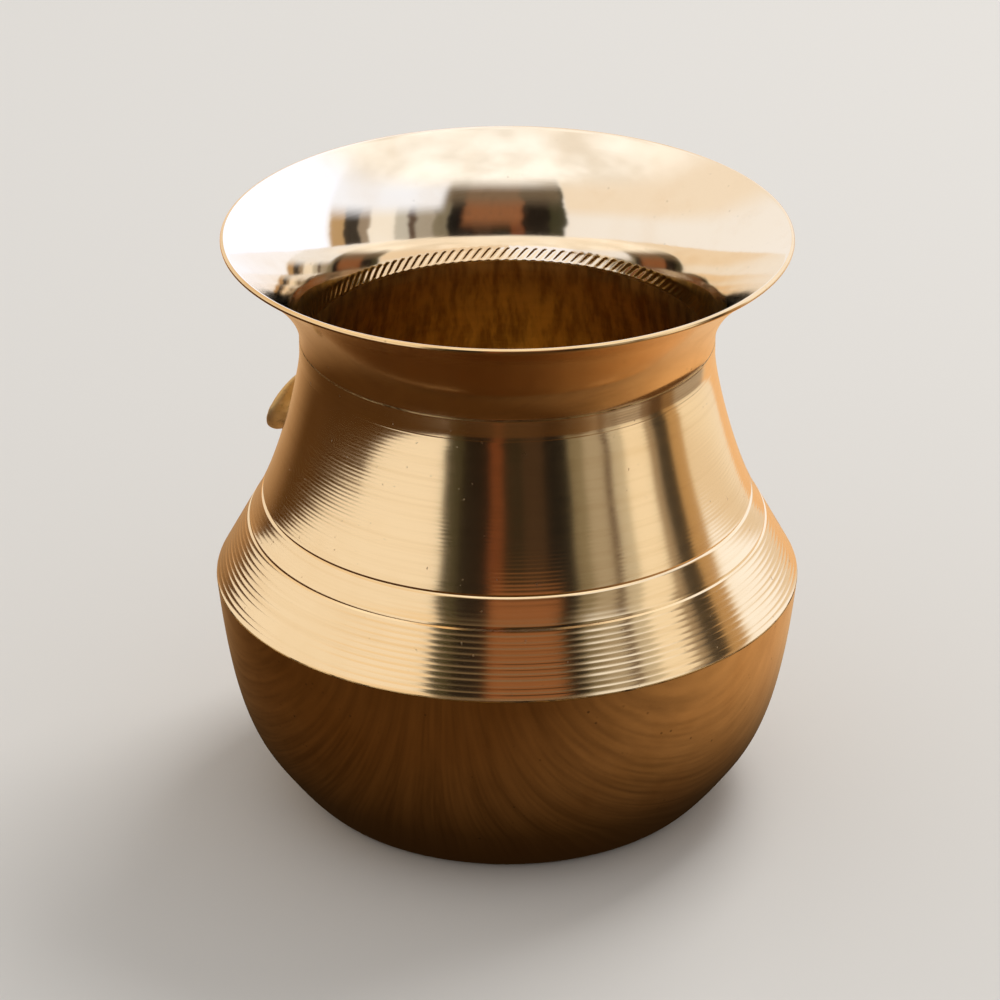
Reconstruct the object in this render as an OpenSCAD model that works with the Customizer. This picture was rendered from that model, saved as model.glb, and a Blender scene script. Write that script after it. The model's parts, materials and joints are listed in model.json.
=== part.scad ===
// Brass kalash pot: a spun mouth, a turned shoulder and a spun bowl, brazed together,
// with a short cast spout at the back left. Millimetres, +Z up.
// The origin is the centre of the flat base, on the surface it stands on.

/* [Overall] */
// Height from the flat base to the top of the lip
height = 102; // [96:0.5:110]
// Outside diameter of the lip
mouth_d = 96; // [90:0.5:104]
// Outside diameter at the belly corner, the widest place
belly_d = 100; // [98:0.5:106]
// Height of the belly corner above the base
belly_h = 39.8; // [38:0.1:42]
// Diameter of the flat that the pot stands on
base_d = 67.2; // [62:0.2:70]

/* [Mouth] */
// Thickness of the mouth sheet, and of its rounded lip
mouth_wall = 1.0; // [0.8:0.05:1.2]
// Height of the throat's lower edge, which shows as a sharp ring inside
throat_h = 81.8; // [81:0.1:82.2]
// Height where the outside of the neck starts to flare
flare_h = 83.7; // [83.7:0.1:85]
// Length of the throat's straight edge, below the inside of the flare
throat_edge = 0.8; // [0.6:0.1:1.2]
// Lean of the flare's inside where it leaves the throat, in degrees from upright
throat_lean = 12; // [8:1:14]
// Rise of the flare at the lip, in degrees above the horizontal
lip_rise = 36; // [25:1:50]

/* [Shoulder] */
// Thickness of the shoulder sheet
shoulder_wall = 0.65; // [0.6:0.05:0.8]
// Outside diameter of the straight neck
neck_d = 70.2; // [69.6:0.1:71.2]
// Height of the crease where the neck turns into the shoulder
crease_h = 80.6; // [80:0.1:81.2]
// Outside diameter of the shoulder at the lower groove
groove_d = 88.6; // [87:0.2:90]
// Height of the lower engraved groove
groove_h = 50.2; // [49:0.1:51]
// Height of the upper groove above the lower one
groove_gap = 4.7; // [4:0.1:6]
// Width and depth of each engraved groove
groove_w = 0.7; // [0.4:0.05:0.9]
groove_deep = 0.2; // [0.1:0.05:0.35]

/* [Lower bowl] */
// Thickness of the bowl sheet
bowl_wall = 0.8; // [0.7:0.05:1]
// Diameter and height where the flank of the bowl turns under
heel_d = 84.6; // [82:0.2:86]
heel_h = 9.5; // [8:0.1:11]
// Height of the bowl's collar inside the shoulder, above the belly corner
collar_rise = 3; // [2:0.25:5]

/* [Brazing] */
// Width of a brazed seam
seam = 0.3; // [0.2:0.05:0.5]
// Depth of the lap where the neck goes round the throat
neck_lap = 1.75; // [1.2:0.05:2]
// Leg of the fillet round the spout
fillet = 1.4; // [1:0.1:1.6]

/* [Spout] */
// Turn of the spout from the left side towards the back, in degrees
spout_turn = 32; // [20:1:60]
// Rise of the spout above the horizontal, in degrees
spout_rise = 25; // [20:1:28]
// Height where the spout's axis meets the pot's axis
spout_h = 39.6; // [38.5:0.1:40.5]
// Distance along that axis to the shoulder's outside, where the spout sits
spout_seat = 44.6; // [44.4:0.1:44.8]
// Distance along that axis to the tip
spout_reach = 50; // [49.5:0.5:54]
// Outside and inside diameter of the spout's tube
spout_d = 8.6; // [7.6:0.2:9.4]
spout_bore = 5.6; // [4.6:0.2:6]
// Outside diameter of the flared tip
tip_d = 12.4; // [11:0.2:13]
// Thickness of the tip's rounded edge
tip_edge = 1.6; // [1.2:0.1:2]

/* [Hidden] */
$fn = 240;
STEPS = 12;
neck_r = neck_d / 2;
belly_r = belly_d / 2;
throat_r = neck_r - mouth_wall;
lap_r = neck_r - mouth_wall / 2;
neck_seam_h = throat_h + neck_lap;
cone_slope = atan((belly_r - groove_d / 2) / (groove_h - belly_h));
spout_in = spout_seat - 1.6;
tip_mid = [tip_d / 2 - tip_edge / 2, spout_reach - tip_edge / 2];
brass = [0.86, 0.68, 0.36];
turned_brass = [0.89, 0.74, 0.45];
cast_brass = [0.72, 0.55, 0.28];
braze_metal = [0.78, 0.62, 0.34];

// A cubic curve through four control points
function curve(a, b, c, d, n = STEPS) = [for (i = [0 : n]) let (t = i / n, s = 1 - t)
    s * s * s * a + 3 * s * s * t * b + 3 * s * t * t * c + t * t * t * d];

// The direction at an angle from straight down, leaning away from the axis
function down(lean) = [sin(lean), -cos(lean)];

// A line of points moved inwards, square to the line
function inset(line, depth) = [for (i = [0 : len(line) - 1])
    let (a = line[max(i - 1, 0)], b = line[min(i + 1, len(line) - 1)], d = (b - a) / norm(b - a))
    line[i] + depth * [d[1], -d[0]]];

function reversed(line) = [for (i = [len(line) - 1 : -1 : 0]) line[i]];

// A round edge about a middle point, from one angle to another
function round_edge(mid, d, from, to, n = 10) = [for (i = [0 : n])
    let (t = from + (to - from) * i / n) mid + d / 2 * [cos(t), sin(t)]];

// The sheet between two depths behind an outside line
module sheet(line, from, to) {
    polygon(concat(inset(line, from), reversed(inset(line, to))));
}

// The outside and inside lines of the flare, from the lip down to the neck and the throat
lip_mid = [(mouth_d - mouth_wall) / 2, height - mouth_wall / 2];
lip_out = lip_mid + mouth_wall / 2 * [sin(lip_rise), -cos(lip_rise)];
lip_in = lip_mid - mouth_wall / 2 * [sin(lip_rise), -cos(lip_rise)];
lip_run = [cos(lip_rise), sin(lip_rise)];
throat_top = [throat_r, throat_h + throat_edge];
flare_line = curve(lip_out, lip_out - 12.5 * lip_run, [neck_r, flare_h + 3.6],
                   [neck_r, flare_h], 2 * STEPS);
inside_line = curve(lip_in, lip_in - 11 * lip_run,
                    throat_top + 8.5 * [sin(throat_lean), cos(throat_lean)], throat_top,
                    2 * STEPS);

// The outside line of the shoulder, from the neck seam down past the belly corner
shoulder_line = concat(
    [[neck_r, neck_seam_h]],
    curve([neck_r, crease_h], [neck_r, crease_h - 4.5],
          [groove_d / 2, groove_h] - 8.7 * down(cone_slope + 5), [groove_d / 2, groove_h],
          2 * STEPS),
    [[belly_r, belly_h], [belly_r, belly_h] + 2 * down(cone_slope)]);

// The outside line of the bowl, from the belly corner to the middle of the base
heel = [heel_d / 2, heel_h];
bowl_line = concat(
    curve([belly_r, belly_h], [belly_r, belly_h] + 19.3 * down(-5.9),
          heel - 5.6 * down(-34.8), heel, 2 * STEPS),
    [for (i = [1 : STEPS]) curve(heel, heel + 5 * down(-34.8), [base_d / 2 + 1.8, 0],
          [base_d / 2, 0])[i]],
    [[0, 0]]);

module above(h) { translate([0, h]) square([80, 200]); }
module below(h) { translate([0, h - 200]) square([80, 200]); }

// The solid that the shoulder's outside encloses, for trimming what stands on it
module shoulder_core() {
    rotate_extrude() polygon(concat([[0, neck_seam_h]], shoulder_line, [[0, belly_h]]));
}

module spout_pose() {
    translate([0, 0, spout_h]) rotate([0, 90 - spout_rise, 180 - spout_turn]) children();
}

module mouth() {
    color(brass) rotate_extrude() polygon(concat(
        round_edge(lip_mid, mouth_wall, lip_rise + 90, lip_rise - 80),
        flare_line,
        [[neck_r, neck_seam_h + seam / 2], [lap_r, neck_seam_h + seam / 2],
         [lap_r, throat_h], [throat_r, throat_h]],
        [for (i = [2 * STEPS : -1 : 1]) inside_line[i]]));
}

module neck_braze() {
    color(braze_metal) rotate_extrude()
        translate([lap_r, neck_seam_h - seam / 2]) square([neck_r - lap_r, seam]);
}

module shoulder() {
    color(turned_brass) difference() {
        rotate_extrude() difference() {
            intersection() {
                sheet(shoulder_line, 0, shoulder_wall);
                above(belly_h + seam / 2);
                below(neck_seam_h - seam / 2);
            }
            // the counterbore that takes the throat's lower edge
            translate([0, throat_h]) square([lap_r, 10]);
            for (h = [groove_h, groove_h + groove_gap])
                let (r = lookup(h, [for (p = reversed(shoulder_line)) [p[1], p[0]]]))
                    translate([r, h]) rotate(-cone_slope) polygon([
                        [groove_deep, -groove_w], [groove_deep, groove_w],
                        [-groove_deep, 0]]);
        }
        spout_pose() cylinder(d = spout_d, h = 80);
    }
}

module belly_braze() {
    color(braze_metal) rotate_extrude() intersection() {
        sheet(shoulder_line, 0.1, shoulder_wall);
        above(belly_h - seam / 2);
        below(belly_h + seam / 2);
    }
}

module lower_bowl() {
    color(brass) rotate_extrude() {
        intersection() {
            sheet(bowl_line, 0, bowl_wall);
            below(belly_h - seam / 2);
        }
        // the collar that tucks inside the shoulder
        intersection() {
            sheet(shoulder_line, shoulder_wall, shoulder_wall + bowl_wall);
            above(belly_h - 1.2);
            below(belly_h + collar_rise);
        }
    }
}

module spout() {
    color(cast_brass) spout_pose() rotate_extrude() polygon(concat(
        [[spout_bore / 2, spout_in], [spout_d / 2, spout_in]],
        curve([spout_d / 2, spout_seat + 1], [spout_d / 2, spout_seat + 2.6],
              tip_mid + [tip_edge / 2, -1.6], tip_mid + [tip_edge / 2, 0], 8),
        round_edge(tip_mid, tip_edge, 18, 162),
        curve(tip_mid - [tip_edge / 2, 0], tip_mid - [tip_edge / 2, 1.2],
              [spout_bore / 2, spout_seat + 3.2], [spout_bore / 2, spout_seat + 1.8], 8)));
}

module spout_braze() {
    color(braze_metal) difference() {
        spout_pose() translate([0, 0, spout_seat - 1.2])
            cylinder(d1 = spout_d + 2 * fillet + 2.4, d2 = spout_d, h = fillet + 1.2);
        spout_pose() cylinder(d = spout_d, h = 80);
        shoulder_core();
    }
}

mouth();
neck_braze();
shoulder();
belly_braze();
lower_bowl();
spout();
spout_braze();
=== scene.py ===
import json
import math
import random

import bmesh
import bpy
from mathutils import Matrix, Vector, noise


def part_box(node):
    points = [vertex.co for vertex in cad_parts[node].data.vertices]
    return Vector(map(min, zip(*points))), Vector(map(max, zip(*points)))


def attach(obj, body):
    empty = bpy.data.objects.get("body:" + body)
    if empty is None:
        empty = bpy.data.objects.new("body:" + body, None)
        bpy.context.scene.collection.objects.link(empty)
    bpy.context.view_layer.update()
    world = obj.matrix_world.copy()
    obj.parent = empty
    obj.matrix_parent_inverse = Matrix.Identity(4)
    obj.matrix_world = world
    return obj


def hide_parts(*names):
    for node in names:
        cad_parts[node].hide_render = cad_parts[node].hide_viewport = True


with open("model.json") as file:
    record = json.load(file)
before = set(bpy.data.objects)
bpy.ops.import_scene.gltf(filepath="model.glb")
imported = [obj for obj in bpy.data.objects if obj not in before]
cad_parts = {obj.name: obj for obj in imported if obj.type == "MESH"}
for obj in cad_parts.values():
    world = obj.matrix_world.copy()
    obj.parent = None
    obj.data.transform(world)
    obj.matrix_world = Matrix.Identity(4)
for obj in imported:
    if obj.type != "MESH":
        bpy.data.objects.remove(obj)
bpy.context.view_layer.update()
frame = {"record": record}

MM = 0.001
SAME_POINT = 0.002 * MM
SOFT_CORNER = math.radians(32)
BODY_COLUMNS = 256
SPOUT_COLUMNS = 96
rng = random.Random(41)

# Sizes in millimetres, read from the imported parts
lip_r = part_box("mouth")[1].x / MM
lip_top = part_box("mouth")[1].z / MM
throat_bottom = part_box("mouth")[0].z / MM
neck_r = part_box("neck_braze")[1].x / MM
seam_low, seam_high = (corner.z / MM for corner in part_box("neck_braze"))
belly_low, belly_high = (corner.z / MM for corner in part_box("belly_braze"))
belly_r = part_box("lower_bowl")[1].x / MM
collar_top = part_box("lower_bowl")[1].z / MM
mounts = {mount["name"]: mount for mount in frame["record"]["mounts"]}
throat_r = mounts["throat"]["dims"]["r_mm"]
outlet_r = mounts["spout_outlet"]["dims"]["r_mm"]
outlet_mid = Vector(mounts["spout_outlet"]["pos_m"])
outlet_axis = Vector(mounts["spout_outlet"]["axis"]).normalized()

MOUTH_WALL = 1.0
SHOULDER_WALL = 0.65
BOWL_WALL = 0.8
TUBE_WALL = 1.5
lap_r = neck_r - MOUTH_WALL / 2


# ---------------------------------------------------------------- outlines


def curve(a, b, c, d, steps):
    """Points of a cubic curve through four control points."""
    points = []
    for i in range(steps + 1):
        t = i / steps
        s = 1 - t
        points.append(
            tuple(
                s**3 * a[k] + 3 * s * s * t * b[k] + 3 * s * t * t * c[k] + t**3 * d[k]
                for k in (0, 1)
            )
        )
    return points


def shift(point, length, degrees):
    """The point a length away, at an angle from straight down, leaning outwards."""
    angle = math.radians(degrees)
    return (point[0] + length * math.sin(angle), point[1] - length * math.cos(angle))


def inset(line, depth):
    """A line that runs down the outside, moved into the wall by a depth."""
    moved = []
    for i, (r, z) in enumerate(line):
        a, b = line[max(i - 1, 0)], line[min(i + 1, len(line) - 1)]
        run = math.dist(a, b)
        moved.append((r + depth * (b[1] - a[1]) / run, z - depth * (b[0] - a[0]) / run))
    return moved


def distances(line):
    """Distance along the line of each of its points."""
    run = [0.0]
    for a, b in zip(line, line[1:]):
        run.append(run[-1] + math.dist(a, b))
    return run


def point_at(line, run, distance, depth=0.0):
    """The point at a distance along a line, moved into the wall by a depth."""
    i = 1
    while i < len(line) - 1 and run[i] < distance:
        i += 1
    a, b = line[i - 1], line[i]
    t = (distance - run[i - 1]) / (run[i] - run[i - 1])
    across = ((b[1] - a[1]) / math.dist(a, b), -(b[0] - a[0]) / math.dist(a, b))
    return (
        a[0] + t * (b[0] - a[0]) + depth * across[0],
        a[1] + t * (b[1] - a[1]) + depth * across[1],
    )


def distance_at(line, run, height):
    """Distance along a falling line where it passes a height."""
    for i in range(1, len(line)):
        if line[i][1] <= height:
            t = (line[i - 1][1] - height) / (line[i - 1][1] - line[i][1])
            return run[i - 1] + t * (run[i] - run[i - 1])
    return run[-1]


def furrows(start, end, feed, shallow, deep, rows):
    """Lathe marks as (distance, depth): round furrows side by side, a little uneven."""
    count = max(1, round((end - start) / feed))
    edges = [start + (end - start) * i / count for i in range(count + 1)]
    for i in range(1, count):
        edges[i] += feed * rng.uniform(-0.07, 0.07)
    cut = []
    for i in range(count):
        depth = (shallow + (deep - shallow) * i / count) * rng.uniform(0.6, 1.35)
        for k in range(rows):
            t = k / rows
            cut.append((edges[i] + t * (edges[i + 1] - edges[i]), depth * 4 * t * (1 - t)))
    return cut


# ---------------------------------------------------------------- modelling by hand


def deselect():
    bpy.ops.object.select_all(action="DESELECT")


def select_only(piece):
    deselect()
    piece.select_set(True)
    bpy.context.view_layer.objects.active = piece


def pick(piece, wanted):
    """In edit mode, select only the points whose place is wanted."""
    mesh = bmesh.from_edit_mesh(piece.data)
    for point in mesh.verts:
        point.select = wanted(point.co)
    mesh.select_flush_mode()
    bmesh.update_edit_mesh(piece.data)


def turned(name, line, columns, closed=True):
    """Draw a line of (radius, height) edge by edge and spin it about the upright axis."""
    deselect()
    bpy.ops.mesh.primitive_plane_add(size=MM)
    piece = bpy.context.object
    piece.name = piece.data.name = name
    bpy.ops.object.mode_set(mode="EDIT")
    bpy.ops.mesh.select_mode(type="VERT")
    bpy.ops.mesh.merge(type="CENTER")
    r, z = line[0]
    bpy.ops.transform.translate(value=(r * MM, 0, z * MM))
    for r, z in line[1:] + (line[:1] if closed else []):
        tip = next(v.co for v in bmesh.from_edit_mesh(piece.data).verts if v.select)
        bpy.ops.mesh.extrude_region_move(
            TRANSFORM_OT_translate={"value": (r * MM - tip.x, 0, z * MM - tip.z)}
        )
    bpy.ops.mesh.select_all(action="SELECT")
    bpy.ops.mesh.spin(steps=columns, angle=2 * math.pi, center=(0, 0, 0), axis=(0, 0, 1))
    bpy.ops.mesh.select_all(action="SELECT")
    bpy.ops.mesh.remove_doubles(threshold=SAME_POINT)
    bpy.ops.mesh.normals_make_consistent(inside=False)
    bpy.ops.object.mode_set(mode="OBJECT")
    return piece


def finish_shape(piece):
    """Smooth the shading but for sharp corners."""
    select_only(piece)
    bpy.ops.object.shade_smooth_by_angle(angle=SOFT_CORNER)


def apply_modifier(piece, modifier):
    select_only(piece)
    bpy.ops.object.modifier_apply(modifier=modifier.name)


def cut_away(piece, tool):
    """Cut the tool's shape out of the piece, then throw the tool away."""
    cut = piece.modifiers.new("cut", "BOOLEAN")
    cut.operation, cut.solver, cut.object = "DIFFERENCE", "EXACT", tool
    apply_modifier(piece, cut)
    bpy.data.objects.remove(tool)


def make_uneven(piece, size, depth):
    """The slight waves of sheet metal spun by hand: the skin sinks by up to a depth."""
    cloud = bpy.data.textures.new(piece.name + "_waves", "CLOUDS")
    cloud.noise_scale = size * MM
    cloud.noise_depth = 1
    waves = piece.modifiers.new("waves", "DISPLACE")
    waves.texture = cloud
    waves.mid_level = 1.0
    waves.strength = depth * MM
    apply_modifier(piece, waves)


def sink(piece, amount, depth):
    """Sink the skin by a depth times an amount between 0 and 1, given for each place."""
    group = piece.vertex_groups.new(name="sink")
    for point in piece.data.vertices:
        weight = amount(point.co, point.normal)
        if weight > 0:
            group.add([point.index], weight, "REPLACE")
    dent = piece.modifiers.new("sink", "DISPLACE")
    dent.vertex_group = group.name
    dent.mid_level = 0.0
    dent.strength = -depth * MM
    apply_modifier(piece, dent)
    piece.vertex_groups.clear()


def faces_inwards(place, normal):
    return normal.x * place.x + normal.y * place.y < 0


def give(piece, materials, which=None):
    """The piece's materials: which one a face gets is told from its place and normal."""
    for material in materials:
        piece.data.materials.append(material)
    if which:
        for face in piece.data.polygons:
            face.material_index = int(which(face.center, face.normal))


# ---------------------------------------------------------------- shader maths


class Shade:
    """An output of a shader node that takes part in plain arithmetic."""

    def __init__(self, tree, socket=None):
        self.tree, self.socket = tree, socket

    def node(self, kind, settings, sockets, output=0):
        """A new node: its settings are made first, then its sockets get values or links."""
        made = self.tree.nodes.new(kind)
        for key, value in settings.items():
            if key == "stops":
                ramp = made.color_ramp
                while len(ramp.elements) < len(value):
                    ramp.elements.new(1.0)
                for element, (position, colour) in zip(ramp.elements, value):
                    element.position = position
                    element.color = (*colour, 1.0)
            else:
                setattr(made, key, value)
        for key, value in sockets.items():
            if isinstance(value, Shade):
                self.tree.links.new(value.socket, made.inputs[key])
            else:
                made.inputs[key].default_value = value
        return Shade(self.tree, made.outputs[output] if made.outputs else None)

    def maths(self, operation, *values):
        return self.node("ShaderNodeMath", {"operation": operation}, dict(enumerate(values)))

    def __add__(self, other):
        return self.maths("ADD", self, other)

    __radd__ = __add__

    def __mul__(self, other):
        return self.maths("MULTIPLY", self, other)

    __rmul__ = __mul__

    def __sub__(self, other):
        return self.maths("SUBTRACT", self, other)

    def __rsub__(self, other):
        return self.maths("SUBTRACT", other, self)

    def __truediv__(self, other):
        return self.maths("DIVIDE", self, other)

    def __pow__(self, other):
        return self.maths("POWER", self, other)

    def between(self, low, high):
        """0 below low, 1 above high, and a soft step from one to the other."""
        return self.node(
            "ShaderNodeMapRange",
            {"interpolation_type": "SMOOTHSTEP"},
            {"Value": self, "From Min": low, "From Max": high},
        )

    def part(self, output):
        return Shade(self.tree, self.socket.node.outputs[output])

    def mix(self, a, b):
        """From colour a to colour b as this value goes from 0 to 1."""
        a, b = (c if isinstance(c, Shade) else (*c, 1) for c in (a, b))
        return self.node("ShaderNodeMix", {"data_type": "RGBA"}, {0: self, 6: a, 7: b}, output=2)

    def noise(self, scale, detail=2.0, rough=0.5):
        """Cloudy noise at this place, from 0 to 1."""
        return self.node(
            "ShaderNodeTexNoise",
            {},
            {"Vector": self, "Scale": scale, "Detail": detail, "Roughness": rough},
        )

    def vector(self, x, y, z):
        return self.node("ShaderNodeCombineXYZ", {}, {0: x, 1: y, 2: z})


class Around:
    """Coordinates round a turned piece: once round is seamless, and up follows the wall.

    Flare is how much of the radius counts as height, for a wall that leans.
    """

    def __init__(self, tree, flare=0.0):
        here = Shade(tree)
        self.place = here.node("ShaderNodeTexCoord", {}, {}, output="Object")
        split = here.node("ShaderNodeSeparateXYZ", {}, {0: self.place})
        x, y, self.z = split, split.part(1), split.part(2)
        self.radius = (x * x + y * y + 1e-9) ** 0.5
        self.cos, self.sin = x / self.radius, y / self.radius
        self.up = self.z + self.radius * flare if flare else self.z
        self.here = here

    def streaks(self, round_scale, up_scale, detail=2.0, rough=0.5, shift=0.0):
        """Noise with one scale round the piece and another, per millimetre, up its wall."""
        at = self.here.vector(
            self.cos * round_scale + shift,
            self.sin * round_scale + shift,
            self.up * (up_scale / MM),
        )
        return at.noise(1.0, detail, rough)


def blank_material(name):
    material = bpy.data.materials.new(name)
    material.use_nodes = True
    material.node_tree.nodes.clear()
    return material


def new_metal(name, flare=0.0):
    material = blank_material(name)
    return material, Around(material.node_tree, flare)


def metal(material, around, colour, roughness, height, height_in_mm):
    """Join the finish of a metal: colour, roughness and the height of its fine relief."""
    here = around.here
    bump = here.node(
        "ShaderNodeBump",
        {},
        {"Strength": 1.0, "Distance": height_in_mm * MM, "Height": height},
    )
    shader = here.node(
        "ShaderNodeBsdfPrincipled",
        {"distribution": "MULTI_GGX"},
        {"Base Color": colour, "Roughness": roughness, "Metallic": 1.0, "Normal": bump},
    )
    here.node("ShaderNodeOutputMaterial", {}, {"Surface": shader})
    return material


# ---------------------------------------------------------------- finishes


DARK_PIT = 0.35


def polished_brass(name, tint, tarnish, flare, rough_base, pits):
    """Buffed sheet: fine rings from the spinning lathe, soft smudges and a few pits."""
    material, around = new_metal(name, flare)
    cloud = around.place.noise(38.0, 3.0, 0.6)
    smudge = around.place.noise(120.0, 4.0, 0.62)
    rings = around.streaks(1.4, 1.5, 2.0, 0.6)
    fine_rings = around.streaks(2.6, 4.0, 3.0, 0.7, 5.0)
    speck = around.here.node(
        "ShaderNodeTexVoronoi", {}, {"Vector": around.place, "Scale": 620.0}
    )
    sparse = around.place.noise(260.0, 2.0, 0.5).between(0.56, 0.68)
    pit = (1 - speck.between(0.08, 0.2)) * sparse * pits
    stain = cloud.between(0.46, 0.78) * 0.5 + smudge.between(0.5, 0.8) * 0.28
    colour = stain.mix(tint, tarnish)
    colour = (pit * 0.7).mix(colour, tuple(DARK_PIT * c for c in tarnish))
    rough = rough_base + smudge.between(0.35, 0.8) * rough_base * 0.6
    rough = rough + rings * rough_base * 0.4 + pit * 0.2
    relief = rings * 0.55 + fine_rings * 0.25 + cloud * 0.6 - pit * 0.9
    return metal(material, around, colour, rough, relief, 0.004)


def turned_brass(name):
    """Bright lathe-turned metal: every furrow is a little brighter or duller than the next."""
    material, around = new_metal(name, flare=-0.35)
    cloud = around.place.noise(45.0, 3.0, 0.6)
    bands = around.streaks(0.7, 1.3, 1.0, 0.5)
    lines = around.streaks(1.6, 4.5, 3.0, 0.7, 3.0)
    dots = around.place.noise(900.0, 2.0, 0.5).between(0.72, 0.78)
    wear = cloud.between(0.45, 0.8) * 0.45 + bands.between(0.45, 0.75) * 0.25
    colour = wear.mix((0.94, 0.715, 0.43), (0.83, 0.58, 0.30))
    colour = (dots * 0.5).mix(colour, (0.25, 0.14, 0.06))
    rough = 0.085 + bands * 0.05 + lines * 0.05 + dots * 0.2
    relief = lines * 0.6 + bands * 0.6 + cloud * 0.3
    return metal(material, around, colour, rough, relief, 0.0035)


def inside_brass(name):
    """The unpolished inside: amber metal with wavy upright streaks and faint turning rings."""
    material, around = new_metal(name, flare=-0.3)
    wave = around.place.noise(70.0, 2.0, 0.5)
    upright = around.here.vector(
        around.cos * 19.0 + wave * 1.5, around.sin * 19.0 + wave * 1.5, around.z * 150.0
    ).noise(1.0, 3.0, 0.6)
    rings = around.streaks(2.4, 1.0, 2.0, 0.6)
    cloud = around.place.noise(90.0, 4.0, 0.6)
    # the streaks stop where the wall turns into the bottom, which only has turning rings
    on_wall = around.radius.between(0.026, 0.037)
    upright = 0.5 + (upright - 0.5) * on_wall
    dark = (1 - upright.between(0.32, 0.66)) * on_wall + (1 - on_wall) * 0.45
    colour = (dark * 0.6 + rings * 0.25 + cloud.between(0.5, 0.8) * 0.15).mix(
        (0.84, 0.55, 0.17), (0.22, 0.115, 0.03)
    )
    rough = 0.24 + upright * 0.1 + cloud * 0.08
    relief = upright * 0.8 + rings * 0.9 + cloud * 0.2
    return metal(material, around, colour, rough, relief, 0.055)


def cast_brass(name):
    """Dull metal straight from the sand mould, rubbed brighter in places."""
    material, around = new_metal(name)
    grain = around.place.noise(1500.0, 4.0, 0.65)
    lumps = around.place.noise(420.0, 3.0, 0.55)
    rubbed = around.place.noise(200.0, 2.0, 0.5).between(0.4, 0.65)
    colour = rubbed.mix((0.68, 0.45, 0.19), (0.94, 0.71, 0.39))
    colour = (grain.between(0.52, 0.75) * 0.45).mix(colour, (0.26, 0.15, 0.06))
    rough = 0.5 + grain * 0.15 - rubbed * 0.12
    relief = grain * 0.5 + lumps
    return metal(material, around, colour, rough, relief, 0.05)


def braze_metal(name):
    """Filler metal in the seams: paler, filed flush, with small dark flux pockets."""
    material, around = new_metal(name)
    pocket = around.streaks(9.0, 2.0, 3.0, 0.6).between(0.5, 0.66)
    file_marks = around.streaks(60.0, 1.5, 2.0, 0.6)
    colour = pocket.mix((0.66, 0.46, 0.22), (0.09, 0.05, 0.022))
    rough = 0.25 + pocket * 0.3 + file_marks * 0.1
    relief = file_marks * 0.5 - pocket
    return metal(material, around, colour, rough, relief, 0.03)


mouth_finish = polished_brass(
    "neck_brass", (0.88, 0.63, 0.34), (0.68, 0.42, 0.17), flare=0.6, rough_base=0.1, pits=0.6
)
# the flare's inside is tinted much paler than the outside of the same sheet: a painted highlight
# for the near-white glare it mirrors, over its real polish
flare_painted_highlight = polished_brass(
    "mirror_brass", (0.95, 0.86, 0.73), (0.88, 0.72, 0.53), flare=1.0, rough_base=0.055, pits=0.25
)
bowl_finish = polished_brass(
    "buffed_brass", (0.86, 0.60, 0.31), (0.62, 0.37, 0.14), flare=0.6, rough_base=0.06, pits=1.0
)
shoulder_finish = turned_brass("bright_turned_brass")
inside_finish = inside_brass("amber_inside")
spout_finish = cast_brass("sand_cast_brass")
seam_finish = braze_metal("filed_braze")


# ---------------------------------------------------------------- mouth

# how far the lip rises above level and the throat leans out, in degrees
LIP_RISE = 36
THROAT_LEAN = 12
LIP_STEPS = 12
THROAT_EDGE = 0.12
ROPE_MARKS = 135
MARK_COLUMNS = 4
ROPE_ROWS = 8
ROPE_TOP, ROPE_LOW = throat_bottom + 2.7, throat_bottom + 0.4
ROPE_DEEP = 0.075
# the columns beside a mark are pressed in by this share of its depth
SIDE_SHARE = 0.4
# columns that the marks lean by from one row to the next
ROPE_LEAN = 0.6
# how near a point lies to a row for it to count as part of it
ROW_NEAR, ROW_HEIGHT = 0.16, 0.04

lip_half = MOUTH_WALL / 2
lip_mid = (lip_r - lip_half, lip_top - lip_half)
lip_out = shift(lip_mid, lip_half, LIP_RISE)
lip_in = shift(lip_mid, -lip_half, LIP_RISE)
throat_top = (throat_r, ROPE_LOW)
flare_out = curve(
    lip_out,
    shift(lip_out, 12.5, LIP_RISE - 90),
    (neck_r, seam_high + 3.6),
    (neck_r, seam_high),
    44,
)
flare_in = curve(
    lip_in,
    shift(lip_in, 11, LIP_RISE - 90),
    shift(throat_top, -8.5, -THROAT_LEAN),
    throat_top,
    60,
)
lip_round = []
for step in range(LIP_STEPS + 1):
    turn = math.radians(LIP_RISE + 90 - 180 * step / LIP_STEPS)
    lip_round.append(
        (lip_mid[0] + lip_half * math.cos(turn), lip_mid[1] + lip_half * math.sin(turn))
    )
inside_run = distances(flare_in)


def inside_at(height):
    """The point of the flare's inside at a height."""
    return point_at(flare_in, inside_run, distance_at(flare_in, inside_run, height))


rope_rows = [ROPE_TOP + (ROPE_LOW - ROPE_TOP) * i / ROPE_ROWS for i in range(ROPE_ROWS + 1)]
rows_above = [ROPE_TOP + 0.7, ROPE_TOP + 0.35]
rows_below = [throat_bottom + THROAT_EDGE, throat_bottom]
mouth_line = (
    lip_round
    + flare_out[1:]
    + [(lap_r, seam_high), (lap_r, throat_bottom + 0.9)]
    + [(lap_r, throat_bottom + THROAT_EDGE), (lap_r - THROAT_EDGE, throat_bottom)]
    + [(throat_r + THROAT_EDGE, throat_bottom), (throat_r, throat_bottom + THROAT_EDGE)]
    + [inside_at(z) for z in reversed(rows_above + rope_rows)]
    + [p for p in reversed(flare_in) if p[1] > rows_above[0] + 0.2][:-1]
)
COLUMN = 2 * math.pi / (ROPE_MARKS * MARK_COLUMNS)
mouth = turned("spun_mouth", mouth_line, ROPE_MARKS * MARK_COLUMNS)


def column_of(place):
    return round(math.atan2(place.y, place.x) / COLUMN) % MARK_COLUMNS


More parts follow.
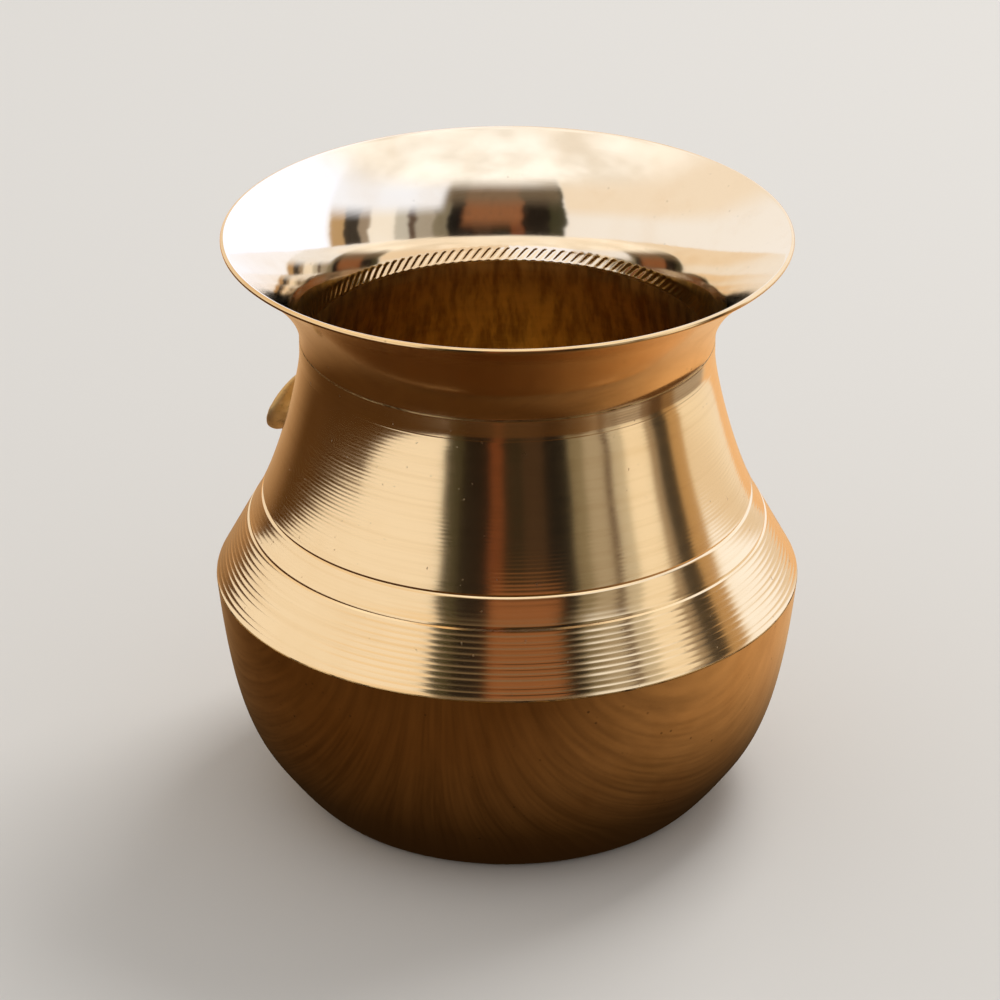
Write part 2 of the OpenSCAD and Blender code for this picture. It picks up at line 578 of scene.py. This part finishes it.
def in_row(place, height):
    """True for the points of one row of the throat's inner wall."""
    wall_r = max(throat_r + THROAT_EDGE, inside_at(height)[0])
    near = math.hypot(place.x, place.y) / MM < wall_r + ROW_NEAR
    return near and abs(place.z / MM - height) < ROW_HEIGHT


select_only(mouth)
bpy.ops.object.mode_set(mode="EDIT")
# press every fourth column into the wall, deepest in the middle of the ring
for row in range(1, ROPE_ROWS):
    press = ROPE_DEEP * math.sin(math.pi * row / ROPE_ROWS) ** 0.5
    for columns, share in (((0,), 1.0), ((1, 3), SIDE_SHARE)):
        pick(mouth, lambda at: in_row(at, rope_rows[row]) and column_of(at) in columns)
        wide = 1 + share * press / throat_r
        bpy.ops.transform.resize(value=(wide, wide, 1), center_override=(0, 0, 0))
# lean the marks: each row is turned a little further than the one below
middle = ROPE_ROWS / 2
leans = [(height, middle - row) for row, height in enumerate(rope_rows)]
leans += [(height, middle * (i + 1) / 3) for i, height in enumerate(rows_above)]
leans += [(height, middle * (i - 2) / 3) for i, height in enumerate(rows_below)]
for height, steps in leans:
    pick(mouth, lambda at: in_row(at, height))
    bpy.ops.transform.rotate(
        value=ROPE_LEAN * COLUMN * steps, orient_axis="Z", center_override=(0, 0, 0)
    )
bpy.ops.object.mode_set(mode="OBJECT")
make_uneven(mouth, 14, 0.03)


def mouth_side(place, normal):
    """0 outside, 1 on the flare's inside and 2 below the rope marks."""
    if not faces_inwards(place, normal):
        return 0
    return 2 if place.z / MM < ROPE_LOW - 0.1 else 1


give(mouth, [mouth_finish, flare_painted_highlight, inside_finish], mouth_side)
finish_shape(mouth)

# ---------------------------------------------------------------- shoulder

CREASE = 80.6
CREASE_LINE, CREASE_HALF, CREASE_DEEP = 79.7, 0.12, 0.022
GROOVE_R, GROOVE_LOW, GROOVE_HIGH = 44.3, 50.2, 54.9
GROOVE_HALF, GROOVE_DEEP = 0.35, 0.2
INNER_STEPS = 34
corner = (belly_r, (belly_low + belly_high) / 2)
cone = math.degrees(math.atan((belly_r - GROOVE_R) / (GROOVE_LOW - corner[1])))

wall = (
    [(neck_r, seam_low)]
    + curve(
        (neck_r, CREASE),
        (neck_r, CREASE - 4.5),
        shift((GROOVE_R, GROOVE_LOW), -8.7, cone + 5),
        (GROOVE_R, GROOVE_LOW),
        60,
    )
    + [corner]
)
wall_run = distances(wall)
crease_at, high_at, low_at, end_at = (
    distance_at(wall, wall_run, h)
    for h in (CREASE_LINE, GROOVE_HIGH, GROOVE_LOW, belly_high)
)
# from the neck down the lathe's feed grows and its furrows get deeper
cuts = [(0.0, 0.0)]
cuts += furrows(0.15, crease_at - CREASE_HALF, 0.5, 0.0006, 0.0012, 3)
cuts += [(crease_at - CREASE_HALF, 0.0), (crease_at, CREASE_DEEP)]
cuts += [(crease_at + CREASE_HALF, 0.0)]
cuts += furrows(crease_at + 0.2, high_at - GROOVE_HALF, 0.68, 0.004, 0.011, 4)
cuts += [(high_at - GROOVE_HALF, 0.0), (high_at, GROOVE_DEEP)]
cuts += furrows(high_at + GROOVE_HALF, low_at - GROOVE_HALF, 0.9, 0.011, 0.015, 5)
cuts += [(low_at - GROOVE_HALF, 0.0), (low_at, GROOVE_DEEP)]
cuts += furrows(low_at + GROOVE_HALF, end_at, 1.02, 0.03, 0.045, 6)
cuts += [(end_at, 0.012)]
outside = [point_at(wall, wall_run, at, depth) for at, depth in cuts]

inner_wall = [
    point_at(wall, wall_run, end_at * (1 - i / INNER_STEPS), SHOULDER_WALL)
    for i in range(INNER_STEPS + 1)
]
counterbore = [(lap_r + 0.03, throat_bottom - 0.05), (lap_r + 0.03, seam_low)]
inside = [p for p in inner_wall if p[1] < throat_bottom - 0.1] + counterbore
shoulder = turned("turned_shoulder", outside + inside, BODY_COLUMNS)


def flutes(place, normal):
    """Wavy upright ripples on the inside only."""
    if not faces_inwards(place, normal) or place.z / MM > throat_bottom - 0.5:
        return 0
    turn = math.atan2(place.y, place.x)
    wave = 0.25 * noise.noise(Vector((2 * math.cos(turn), 2 * math.sin(turn), place.z * 60)))
    turn += wave
    at = Vector((9 * math.cos(turn), 9 * math.sin(turn), place.z * 25))
    return min(1, max(0, 0.5 + 0.8 * noise.noise(at)))


sink(shoulder, flutes, 0.12)
make_uneven(shoulder, 16, 0.02)

# the round hole that the spout's tube fills
deselect()
bpy.ops.mesh.primitive_cylinder_add(
    vertices=SPOUT_COLUMNS,
    radius=(outlet_r + TUBE_WALL - 0.05) * MM,
    depth=12 * MM,
    location=outlet_mid,
    rotation=outlet_axis.to_track_quat("Z", "Y").to_euler(),
)
cut_away(shoulder, bpy.context.object)
give(shoulder, [shoulder_finish, inside_finish], faces_inwards)
finish_shape(shoulder)

# ---------------------------------------------------------------- lower bowl

HEEL, HEEL_LEAN = (42.3, 9.5), -34.8
BELLY_LEAN = -5.9
BASE_R = 33.6
BOTTOM_RINGS = (BASE_R - 3, 20.0, 6.0, 0.0)
COLLAR_MID, COLLAR_LOW = 41.2, 40.0
flank = curve(corner, shift(corner, 19.3, BELLY_LEAN), shift(HEEL, -5.6, HEEL_LEAN), HEEL, 44)
under = curve(HEEL, shift(HEEL, 5, HEEL_LEAN), (BASE_R + 1.8, 0), (BASE_R, 0), 20)
bowl_out = flank + under[1:] + [(r, 0.0) for r in BOTTOM_RINGS]
bowl_in = inset(bowl_out[:-1], BOWL_WALL) + [(0.0, BOWL_WALL)]
collar_foot = belly_low - 1.2


def cone_at(height, depth):
    """Radius of the shoulder's cone at a height, at a depth inside its skin."""
    slope = math.radians(cone)
    return corner[0] + (corner[1] - height) * math.tan(slope) - depth / math.cos(slope)


collar_out = [
    (cone_at(z, SHOULDER_WALL + 0.02), z) for z in (belly_low, COLLAR_MID, collar_top - 0.1)
]
collar_in = [
    (cone_at(z, SHOULDER_WALL + BOWL_WALL), z)
    for z in (collar_top, COLLAR_MID, COLLAR_LOW, collar_foot + 0.6)
]
bowl_run = distances(bowl_out)
rim = point_at(bowl_out, bowl_run, distance_at(bowl_out, bowl_run, belly_low))
bowl_line = (
    [p for p in reversed(bowl_out) if p[1] < belly_low - 0.3]
    + [(rim[0], belly_low)]
    + collar_out
    + collar_in
    + [p for p in bowl_in if p[1] < collar_foot]
)
bowl = turned("spun_bowl", bowl_line, BODY_COLUMNS, closed=False)
make_uneven(bowl, 15, 0.035)


def inside_bowl(place, normal):
    """The wall's inner side, and the bottom's upper side."""
    return faces_inwards(place, normal) or (normal.z > 0.5 and place.z < 5 * MM)


give(bowl, [bowl_finish, inside_finish], inside_bowl)
finish_shape(bowl)

# ---------------------------------------------------------------- seams

neck_seam = turned(
    "neck_seam",
    [
        (lap_r, seam_low),
        (neck_r - 0.015, seam_low),
        (neck_r - 0.04, (seam_low + seam_high) / 2),
        (neck_r - 0.015, seam_high),
        (lap_r, seam_high),
    ],
    BODY_COLUMNS,
)
belly_seam = turned(
    "belly_seam",
    [
        (cone_at(belly_low, SHOULDER_WALL), belly_low),
        (cone_at(belly_low, 0.03) - 0.12, belly_low),
        (cone_at(corner[1], 0.03), corner[1]),
        (cone_at(belly_high, 0.02), belly_high),
        (cone_at(belly_high, SHOULDER_WALL), belly_high),
    ],
    BODY_COLUMNS,
)
for ring, wave in ((neck_seam, 0.03), (belly_seam, 0.05)):
    make_uneven(ring, 2.5, wave)
    give(ring, [seam_finish])
    finish_shape(ring)

# ---------------------------------------------------------------- spout


def set_on_outlet(piece):
    """Turn a piece made upright onto the outlet's axis, and keep its place in its mesh."""
    piece.matrix_world = Matrix.Translation(outlet_mid) @ (
        outlet_axis.to_track_quat("Z", "Y").to_matrix().to_4x4()
    )
    select_only(piece)
    bpy.ops.object.transform_apply(location=True, rotation=True, scale=True)


tube_r = outlet_r + TUBE_WALL
TIP_R, TIP_REACH, TIP_EDGE = 6.2, 5.3, 0.8
tip = (TIP_R - TIP_EDGE, TIP_REACH - TIP_EDGE)
tip_round = [
    (tip[0] + TIP_EDGE * math.cos(math.radians(a)), tip[1] + TIP_EDGE * math.sin(math.radians(a)))
    for a in range(12, 169, 12)
]
nozzle_line = (
    [(outlet_r + 0.2, -1.7), (tube_r - 0.2, -1.7), (tube_r, -1.5), (tube_r, -0.4)]
    + curve((tube_r, 0.9), (tube_r, 2.5), (TIP_R, tip[1] - 1.6), (TIP_R, tip[1]), 14)
    + tip_round
    + curve(
        (tip[0] - TIP_EDGE, tip[1]),
        (tip[0] - TIP_EDGE, tip[1] - 1.2),
        (outlet_r, 3.2),
        (outlet_r, 1.7),
        14,
    )
    + [(outlet_r, 0.4), (outlet_r, -0.8), (outlet_r, -1.5)]
)
spout = turned("cast_spout", nozzle_line, SPOUT_COLUMNS)
set_on_outlet(spout)
make_uneven(spout, 2.2, 0.16)
make_uneven(spout, 0.7, 0.05)
give(spout, [spout_finish])
finish_shape(spout)

FILLET = 1.4
fillet_line = (
    [(tube_r - 0.1, -1.2), (tube_r + FILLET + 1.2, -1.2)]
    + curve(
        (tube_r + FILLET, 0.0),
        (tube_r + 0.5, 0.25),
        (tube_r + 0.2, 0.7),
        (tube_r + 0.02, 1.5),
        8,
    )
    + [(tube_r - 0.1, 1.4)]
)
fillet = turned("spout_fillet", fillet_line, SPOUT_COLUMNS)
set_on_outlet(fillet)
core = turned(
    "core",
    [(0, seam_low)] + [(r - 0.08, z) for r, z in wall] + [(0, corner[1])],
    128,
    closed=False,
)
cut_away(fillet, core)
give(fillet, [seam_finish])
finish_shape(fillet)

for piece, node, slot in (
    (mouth, "mouth", "polished_brass"),
    (neck_seam, "neck_braze", "braze_metal"),
    (shoulder, "shoulder", "turned_brass"),
    (belly_seam, "belly_braze", "braze_metal"),
    (bowl, "lower_bowl", "polished_brass"),
    (spout, "spout", "cast_brass"),
    (fillet, "spout_braze", "braze_metal"),
):
    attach(piece, "root")
    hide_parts(node)

# ---------------------------------------------------------------- floor, light and camera

middle_of_pot = Vector((0, 0, 0.05))
# the way that the table's grain runs
GRAIN_X, GRAIN_Y = 0.41, 0.91


def stage_plane(name, low, high, height):
    """A flat card from one corner to the other."""
    deselect()
    bpy.ops.mesh.primitive_plane_add(
        size=1, location=((low[0] + high[0]) / 2, (low[1] + high[1]) / 2, height)
    )
    card = bpy.context.object
    card.name = name
    card.scale = (high[0] - low[0], high[1] - low[1], 1)
    bpy.ops.object.transform_apply(location=True, rotation=True, scale=True)
    return card


def flat_material(name, colour):
    material = blank_material(name)
    here = Shade(material.node_tree)
    shader = here.node(
        "ShaderNodeBsdfPrincipled",
        {},
        {"Base Color": (*colour, 1), "Roughness": 0.9, "Specular IOR Level": 0.1},
    )
    here.node("ShaderNodeOutputMaterial", {}, {"Surface": shader})
    return material


def glowing_wood(name):
    """Brown light with a long grain: a glowing stand-in for a lit table top, with painted shade
    in front, a painted shadow of the pot under it and painted light brighter far away.
    """
    material = blank_material(name)
    card = Shade(material.node_tree)
    place = card.node("ShaderNodeTexCoord", {}, {}, output="Object")
    x = card.node("ShaderNodeSeparateXYZ", {}, {0: place})
    y = x.part(1)
    along = x * GRAIN_X + y * GRAIN_Y
    across = y * GRAIN_X - x * GRAIN_Y
    fine_grain = card.vector(along * 30, across * 900, 0.0).noise(1.0, 5.0, 0.72)
    broad_grain = card.vector(along * 10, across * 300, 4.0).noise(1.0, 3.0, 0.6)
    # painted light and shade: dark in front, brighter to the right and the back where the light
    # falls across the table
    painted_far_light = (x + y).between(-0.11, 0.24)
    out = (x * x + y * y) ** 0.5
    painted_light_wood = painted_far_light.mix((0.098, 0.046, 0.015), (1.0, 0.62, 0.32))
    light_grain = fine_grain.between(0.36, 0.60) * 0.62 + broad_grain.between(0.35, 0.65) * 0.38
    # the grain is plain in front and nearly gone behind, so that the bowl stays metal all round
    even = 0.38 + (x * 0.3 + y).between(-0.05, 0.06) * 0.42
    painted_light_wood = (even + light_grain * (1 - even)).mix((0.022, 0.009, 0.003), painted_light_wood)
    # painted shadow of the pot: the card goes nearly black close round its foot
    painted_light_wood = out.between(0.032, 0.084).mix((0.016, 0.008, 0.003), painted_light_wood)
    glow = card.node("ShaderNodeEmission", {}, {"Color": painted_light_wood, "Strength": 1.0})
    card.node("ShaderNodeOutputMaterial", {}, {"Surface": glow})
    return material


floor = stage_plane("floor", (-6, -6), (6, 6), 0.0)
floor.data.materials.append(flat_material("pale_floor", (0.66, 0.64, 0.61)))
floor.visible_glossy = False
# a brown card just under the floor, which only the metal sees, in place of a wooden table top: it
# glows with painted light and holds a painted shadow of the pot
brown_card = stage_plane("brown_card", (-0.9, -0.2), (0.15, 1.2), -0.1 * MM)
brown_card.data.materials.append(glowing_wood("brown_card"))
brown_card.visible_camera = brown_card.visible_diffuse = brown_card.visible_shadow = False


def lamp(name, azimuth, elevation, distance, width, glow):
    """A square soft box aimed at the pot. Azimuth 0 is the camera's side and 90 is the right."""
    a, e = math.radians(azimuth), math.radians(elevation)
    way = Vector((math.sin(a) * math.cos(e), -math.cos(a) * math.cos(e), math.sin(e)))
    data = bpy.data.lights.new(name, "AREA")
    data.shape = "RECTANGLE"
    data.size = data.size_y = width
    data.energy = glow * width * width * math.pi
    made = bpy.data.objects.new(name, data)
    bpy.context.scene.collection.objects.link(made)
    made.location = middle_of_pot + way * distance
    made.rotation_mode = "QUATERNION"
    made.rotation_quaternion = (-way).to_track_quat("-Z", "Y")
    made.visible_camera = False
    return made


# the one light that falls on the floor
sky_light = lamp("sky_light", azimuth=142, elevation=58, distance=1.3, width=0.55, glow=9.0)
sky_light.visible_glossy = False

# the studio that the metal mirrors: white overhead and behind, a tall window at the left,
# and a dark side with a few upright strips where the camera stands
world = bpy.data.worlds.new("studio")
bpy.context.scene.world = world
world.use_nodes = True
world.node_tree.nodes.clear()
sky = Shade(world.node_tree)
way = sky.node("ShaderNodeTexCoord", {}, {}, output="Object")
split = sky.node("ShaderNodeSeparateXYZ", {}, {0: way})
to_right, away, up = split, split.part(1), split.part(2)
azimuth = sky.maths("ARCTAN2", to_right, -1 * away) * (180 / math.pi)
elevation = sky.maths("ARCSINE", up) * (180 / math.pi)


def span(value, low, high, soft):
    """1 between two angles, with soft ends."""
    return value.between(low - soft, low + soft) * (1 - value.between(high - soft, high + soft))


# upright strips across the camera's side, from the window's edge round to the right
WINDOW = (0.97, 0.93, 0.90)
strips = [
    (-40, WINDOW),
    (-32, (0.05, 0.045, 0.022)),
    (-23, (0.016, 0.011, 0.007)),
    (-8, (0.17, 0.055, 0.022)),
    (-2, (0.030, 0.022, 0.012)),
    (8, (0.055, 0.032, 0.018)),
    (19, (0.012, 0.010, 0.008)),
    (32, (0.24, 0.21, 0.15)),
    (40, (0.42, 0.38, 0.32)),
    (50, (0.10, 0.06, 0.04)),
    (54, (0.58, 0.55, 0.49)),
    (63, (0.98, 0.92, 0.84)),
    (78, (0.34, 0.27, 0.20)),
    (84, (0.05, 0.04, 0.03)),
    (94, (0.52, 0.34, 0.17)),
    (104, (0.95, 0.88, 0.78)),
]
FIRST, LAST, EDGE = -40, 110, 0.8
stops = [(0.0, WINDOW)]
for (start, colour), (_, before) in zip(strips[1:], strips):
    stops.append(((start - EDGE - FIRST) / (LAST - FIRST), before))
    stops.append(((start + EDGE - FIRST) / (LAST - FIRST), colour))
# the strips wander a little to the side on their way up
WANDER = 7
wander = sky.vector(azimuth * 0.05, elevation * 0.09, 2.0).noise(1.0, 2.0, 0.5)
turn = azimuth + (wander - 0.5) * WANDER
room = sky.node("ShaderNodeValToRGB", {"stops": stops}, {0: (turn - FIRST) / (LAST - FIRST)})
# soft patches on the camera's side: a lit brown one, a grey top and fine shadows
texture = sky.vector(azimuth * 0.4, elevation * 0.12, 0.0).noise(1.0, 4.0, 0.65)
front = span(turn, -30, 44, 2)
lit_front = span(turn, -8, 24, 2) * elevation.between(12, 24)
room = (lit_front * 0.9).mix(room, (0.30, 0.125, 0.055))
room = (elevation.between(28, 44) * front * 0.8).mix(room, (0.20, 0.15, 0.10))
room = (texture.between(0.5, 0.72) * front * 0.35).mix(room, (0.10, 0.07, 0.045))
# above the strips: a cream wall at the left, white at the right, then the pale ceiling
window = 1 - azimuth.between(-33.5, -31.5)
room = (window * elevation.between(22, 34)).mix(room, (0.95, 0.82, 0.67))
room = (span(azimuth, 36, 116, 3) * elevation.between(25, 38)).mix(room, (1.0, 1.06, 1.22))
# the wall behind the pot at the right, warm below and cool above
behind_right = azimuth.between(102, 108) * elevation.between(-16, -10)
back_wall = elevation.between(-7, 2).mix((0.84, 0.74, 0.63), (1.1, 1.2, 1.48))
room = behind_right.mix(room, back_wall)
cloud = way.noise(3.2, 3.0, 0.55)
ceiling = cloud.between(0.35, 0.7).mix((1.22, 1.2, 1.18), (0.92, 0.86, 0.78))
room = elevation.between(44, 60).mix(room, ceiling)
# steeply down, past the card's edges, the world is as brown as the card
room = elevation.between(-25.5, -23).mix((0.12, 0.06, 0.026), room)
# plain pale grey for the camera and for the light on the floor
rays = sky.node("ShaderNodeLightPath", {}, {}, output="Is Camera Ray")
seen = rays.part("Is Glossy Ray").mix((0.70, 0.69, 0.68), room)
seen = rays.mix(seen, (0.66, 0.65, 0.63))
backdrop = sky.node("ShaderNodeBackground", {}, {"Color": seen, "Strength": 1.0})
sky.node("ShaderNodeOutputWorld", {}, {"Surface": backdrop})

camera = bpy.data.objects.new("camera", bpy.data.cameras.new("camera"))
bpy.context.scene.collection.objects.link(camera)
camera.data.lens = 186
camera.data.sensor_width = 36
camera.data.clip_start = 0.05
camera.location = (0, -0.7951, 0.4397)
camera.rotation_euler = (math.radians(64.02), 0, math.radians(0.0875))
bpy.context.scene.camera = camera
bpy.context.scene.view_settings.view_transform = "Standard"
